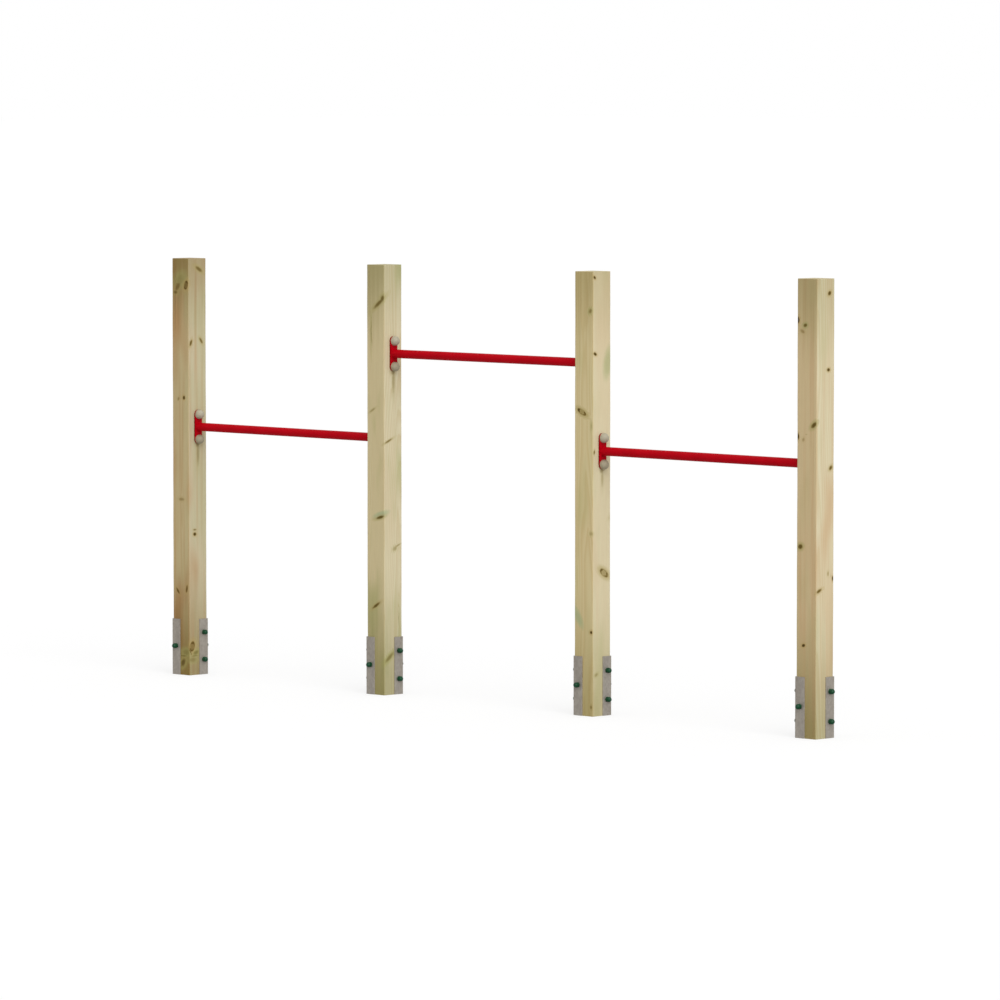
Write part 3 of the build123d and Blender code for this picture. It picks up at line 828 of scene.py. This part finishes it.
def treated_pine(number, heart, shade, warm, green, side, side_shade_tint, top_dark_and_shade, foot_dark_and_shade, ends, height):
    """The finish of one post. Heart is where the tree's middle was, in metres from the post's middle."""
    material, tree, shader, place = new_finish(f"treated_pine_{number}")
    offset = (number * 3.7, number * 1.3, number * 0.9)
    bend = cloud(tree, scaled(tree, place, (9, 9, 1.1), offset), 2.0, 0.5)
    rough_edge = cloud(tree, scaled(tree, place, (130, 130, 90), offset), 2.0, 0.6)
    fibre = cloud(tree, scaled(tree, place, (900, 900, 14), offset), 3.0, 0.6)
    streak = cloud(tree, scaled(tree, place, (55, 55, 1.2), offset), 3.0, 0.55)
    blur = calc(tree, "MULTIPLY", calc(tree, "SUBTRACT", rough_edge, 0.5), 0.5)
    dark, halo, green_spot, blue_spot = all_knots(tree, blur)

    parts = parts_of(tree, place)
    summer = summer_rings(tree, parts, heart, bend, halo)
    colour = sound_wood(tree, place, number, offset, streak, summer, warm, green)
    # Painted shade: the face that looks to -Y gets a darker tint, and darker ends, than the other three.
    looks_to = parts_of(tree, put(tree, "ShaderNodeNewGeometry").outputs["Normal"])
    shaded = calc(tree, "MULTIPLY", looks_to[1], -1.0, clamp=True)
    ends_dark_and_shade = darker_ends_and_side_shade(tree, parts[2], streak, shaded, top_dark_and_shade, foot_dark_and_shade, height)
    colour = mix(tree, calc(tree, "MULTIPLY", shaded, side), colour, side_shade_tint, "MULTIPLY")
    colour = mix(tree, ends_dark_and_shade, colour, ends, "MULTIPLY")
    colour = toned(tree, colour, fibre, shade)
    colour = with_knots(tree, colour, dark, halo, green_spot, blue_spot)
    feed(tree, shader.inputs["Base Color"], colour)

    feed(tree, shader.inputs["Roughness"], calc(tree, "MULTIPLY_ADD", fibre, 0.16, 0.62))
    shader.inputs["Specular IOR Level"].default_value = 0.25
    ridge = calc(tree, "ADD", calc(tree, "MULTIPLY", summer, 0.5), calc(tree, "MULTIPLY", fibre, 0.6))
    ridge = calc(tree, "SUBTRACT", ridge, calc(tree, "MULTIPLY", dark, 0.8))
    feed(tree, shader.inputs["Normal"], bump(tree, ridge, 0.40, 0.5 * MM))
    return material


# Side and its tint set the painted shade on the face that looks to -Y, which also gets darker ends.
POST_LOOKS = {
    1: dict(heart=(0.012, -0.070), shade=0.82, warm=0.95, green=0.35, side=0.8, side_shade_tint=SIDE_SHADE_TINT,
            top_dark_and_shade=1.05, foot_dark_and_shade=1.25, ends=BROWN_END),
    2: dict(heart=(-0.062, 0.020), shade=0.94, warm=0.15, green=0.85, side=0.6, side_shade_tint=SIDE_SHADE_TINT,
            top_dark_and_shade=0.75, foot_dark_and_shade=1.05, ends=GREEN_END),
    3: dict(heart=(0.020, 0.075), shade=1.00, warm=0.25, green=0.45, side=0.8, side_shade_tint=SIDE_SHADE_TINT,
            top_dark_and_shade=0.6, foot_dark_and_shade=0.75, ends=YELLOW_END),
    4: dict(heart=(-0.055, -0.050), shade=0.99, warm=0.65, green=0.30, side=1.0, side_shade_tint=PINK_SIDE_SHADE,
            top_dark_and_shade=0.6, foot_dark_and_shade=0.95, ends=GREEN_END),
}
for number, post in enumerate(posts, 1):
    finish = treated_pine(number, height=post.dimensions.z, **POST_LOOKS[number])
    post.data.materials.append(finish)
    print(post.name, "finish has", len(finish.node_tree.nodes), "nodes")

# %% [markdown]
# ## Red powder coat
#
# Powder paint is sprayed on dry and melted in an oven. It flows out to an even skin with a faint orange
# peel. Two sizes of soft noise in the relief give the peel, and a slow one changes the gloss a little from
# place to place. The colour carries the finish here, so the surface is satin and its shine is low. Over the
# thickness of a plate, where it meets its post, the paint is darkened by painted shade.

# %% Red powder coat
RED = paint(181, 2, 20)
DEEP_RED = paint(173, 1, 17)
# The colour of the painted shade at a plate's edge, next to its post.
PLATE_EDGE_SHADE = paint(150, 150, 150)
POST_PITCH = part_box("post_2")[0].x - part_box("post_1")[0].x
plate_low, plate_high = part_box("bar_1_left_plate")
PLATE = plate_high.x - plate_low.x
EDGE_SHADE_SHARE = 0.9


def red_powder_coat():
    """Satin red paint with orange peel."""
    material, tree, shader, place = new_finish("red_powder_coat")
    peel = cloud(tree, scaled(tree, place, (620, 620, 620)), 1.0, 0.4)
    dust = cloud(tree, scaled(tree, place, (2600, 2600, 2600)), 2.0, 0.6)
    slow = cloud(tree, scaled(tree, place, (14, 14, 14)), 3.0, 0.5)
    colour = mix(tree, rise(tree, slow, 0.3, 0.7), DEEP_RED, RED)
    # Painted shade: darker over the thickness of each plate, next to its post.
    along_row = parts_of(tree, place)[0]
    bay_place = calc(tree, "MODULO", calc(tree, "ADD", along_row, 2 * POST_PITCH), POST_PITCH)
    off_post = calc(tree, "ABSOLUTE", calc(tree, "SUBTRACT", bay_place, POST_PITCH / 2))
    edge_shade = rise(tree, off_post, POST_HALF, POST_HALF + PLATE * EDGE_SHADE_SHARE, 1.0, 0.0)
    feed(tree, shader.inputs["Base Color"], mix(tree, edge_shade, colour, PLATE_EDGE_SHADE, "MULTIPLY"))
    feed(tree, shader.inputs["Roughness"], calc(tree, "MULTIPLY_ADD", slow, 0.18, 0.36))
    shader.inputs["Specular IOR Level"].default_value = 0.03
    relief = calc(tree, "MULTIPLY_ADD", dust, 0.15, peel)
    feed(tree, shader.inputs["Normal"], bump(tree, relief, 0.18, 0.25 * MM))
    return material


finishes = {"red_powder_coat": red_powder_coat()}
print("posts", round(POST_PITCH, 4), "m apart, plates", round(PLATE / MM, 2), "mm thick")

# %% [markdown]
# ## Galvanised and plated steel
#
# Hot-dip zinc freezes in flat crystals, each a slightly different grey, which is called spangle. Weather
# then dulls it to a warm grey bloom. Cells of random size make the crystals and a slow noise the bloom.
# The screws and washers under the caps have thin bright zinc plating, with only a fine turning mark.

# %% Galvanised and plated steel
ZINC = paint(154, 146, 136)
PALE_ZINC = paint(178, 171, 160)
DARK_ZINC = paint(128, 120, 112)


def galvanised_steel():
    """Dull spangled zinc."""
    material, tree, shader, place = new_finish("galvanised_steel")
    waver = cloud(tree, scaled(tree, place, (60, 60, 60)), 2.0, 0.5)
    cells = put(tree, "ShaderNodeTexVoronoi", feature="F1")
    feed(tree, cells.inputs["Vector"], scaled(tree, place, (150, 150, 110)))
    cells.inputs["Scale"].default_value = 1.0
    crystal = parts_of(tree, cells.outputs["Color"])
    bloom = cloud(tree, scaled(tree, place, (22, 22, 9)), 4.0, 0.6)
    grain = cloud(tree, scaled(tree, place, (900, 900, 900)), 3.0, 0.6)
    value = calc(tree, "MULTIPLY_ADD", crystal[0], 0.30, calc(tree, "MULTIPLY", bloom, 0.9))
    colour = mix(tree, rise(tree, value, 0.25, 0.95), ZINC, PALE_ZINC)
    colour = mix(tree, calc(tree, "MULTIPLY", grain, 0.20), colour, DARK_ZINC)
    feed(tree, shader.inputs["Base Color"], colour)
    shader.inputs["Metallic"].default_value = 0.55
    feed(tree, shader.inputs["Roughness"], calc(tree, "MULTIPLY_ADD", crystal[1], 0.14, 0.46))
    waves = calc(tree, "MULTIPLY_ADD", grain, 0.3, waver)
    relief = calc(tree, "MULTIPLY_ADD", crystal[2], 0.35, waves)
    feed(tree, shader.inputs["Normal"], bump(tree, relief, 0.35, 0.2 * MM))
    return material


def zinc_plated_steel():
    """Thin bright zinc on screws and washers."""
    material, tree, shader, place = new_finish("zinc_plated_steel")
    brushed = cloud(tree, scaled(tree, place, (700, 700, 700)), 4.0, 0.6)
    slow = cloud(tree, scaled(tree, place, (90, 90, 90)), 2.0, 0.5)
    colour = mix(tree, slow, paint(178, 180, 184), paint(206, 204, 196))
    feed(tree, shader.inputs["Base Color"], colour)
    shader.inputs["Metallic"].default_value = 0.9
    feed(tree, shader.inputs["Roughness"], calc(tree, "MULTIPLY_ADD", brushed, 0.2, 0.24))
    feed(tree, shader.inputs["Normal"], bump(tree, brushed, 0.2, 0.1 * MM))
    return material


finishes["galvanised_steel"] = galvanised_steel()
finishes["zinc_plated_steel"] = zinc_plated_steel()
print("steel finishes:", [name for name in finishes if name.endswith("steel")])

# %% [markdown]
# ## Moulded plastic
#
# The grey domes and the green caps come out of polished moulds, then spend their life in the sun. The
# grey ones are chalky and nearly matt. The green ones keep more gloss. Both have the faint cloudiness of
# pigment that isn't stirred perfectly, and a fine texture on the skin. The domes under the bars are painted
# a little darker and warmer than the ones over them: that is painted shade, where the bar keeps light off.
# How high a point lies tells the two apart, and one sum does for all three bars, because their heights
# differ by a single step.

# %% Moulded plastic
BAR_STEP = bar_height(2) - bar_height(1)
SHADE_BAND_FROM = bar_height(1) - 80 * MM
# The tint of the painted shade on the domes under the bars.
UNDER_BAR_SHADE_TINT = paint(222, 213, 196)


def moulded_plastic(name, main, second, rough, shine, grain_size, under_bar_shade=0.0):
    """A plastic with cloudy pigment, and painted shade on the domes under a bar, as strong as the last
    number.
    """
    material, tree, shader, place = new_finish(name)
    pigment = cloud(tree, scaled(tree, place, (120, 120, 120)), 4.0, 0.6)
    texture = cloud(tree, scaled(tree, place, (grain_size, grain_size, grain_size)), 2.0, 0.5)
    colour = mix(tree, rise(tree, pigment, 0.3, 0.7), main, second)
    # Painted shade: the domes under a bar are darkened and warmed.
    up = parts_of(tree, place)[2]
    over_bar = calc(tree, "MODULO", calc(tree, "SUBTRACT", up, SHADE_BAND_FROM), BAR_STEP)
    under_bar_shade_share = rise(tree, over_bar, 0.05, 0.10, under_bar_shade, 0.0)
    feed(tree, shader.inputs["Base Color"], mix(tree, under_bar_shade_share, colour, UNDER_BAR_SHADE_TINT, "MULTIPLY"))
    feed(tree, shader.inputs["Roughness"], calc(tree, "MULTIPLY_ADD", texture, 0.12, rough))
    shader.inputs["Specular IOR Level"].default_value = shine
    feed(tree, shader.inputs["Normal"], bump(tree, texture, 0.2, 0.12 * MM))
    return material


finishes["grey_plastic"] = moulded_plastic(
    "grey_plastic", paint(162, 155, 134), paint(172, 165, 144), 0.5, 0.3, 1500, 0.55)
finishes["green_plastic"] = moulded_plastic(
    "green_plastic", paint(3, 56, 31), paint(8, 70, 42), 0.30, 0.28, 1100)
print("bars differ by", round(BAR_STEP, 3), "m in height")

# %% [markdown]
# ## Finishes on the pieces
#
# The record that comes with the model names a finish for each piece, so one loop dresses them all. The CAD
# pieces that a mesh stands in for are hidden and are passed over. The beads take the same red as their bar.

# %% Finishes on the pieces
for name, piece in nodes.items():
    if piece.hide_render:
        continue
    piece.data.materials.clear()
    piece.data.materials.append(finishes[slots[name]])
for piece in beads:
    piece.data.materials.append(finishes["red_powder_coat"])
print("finishes made:", sorted(finishes))
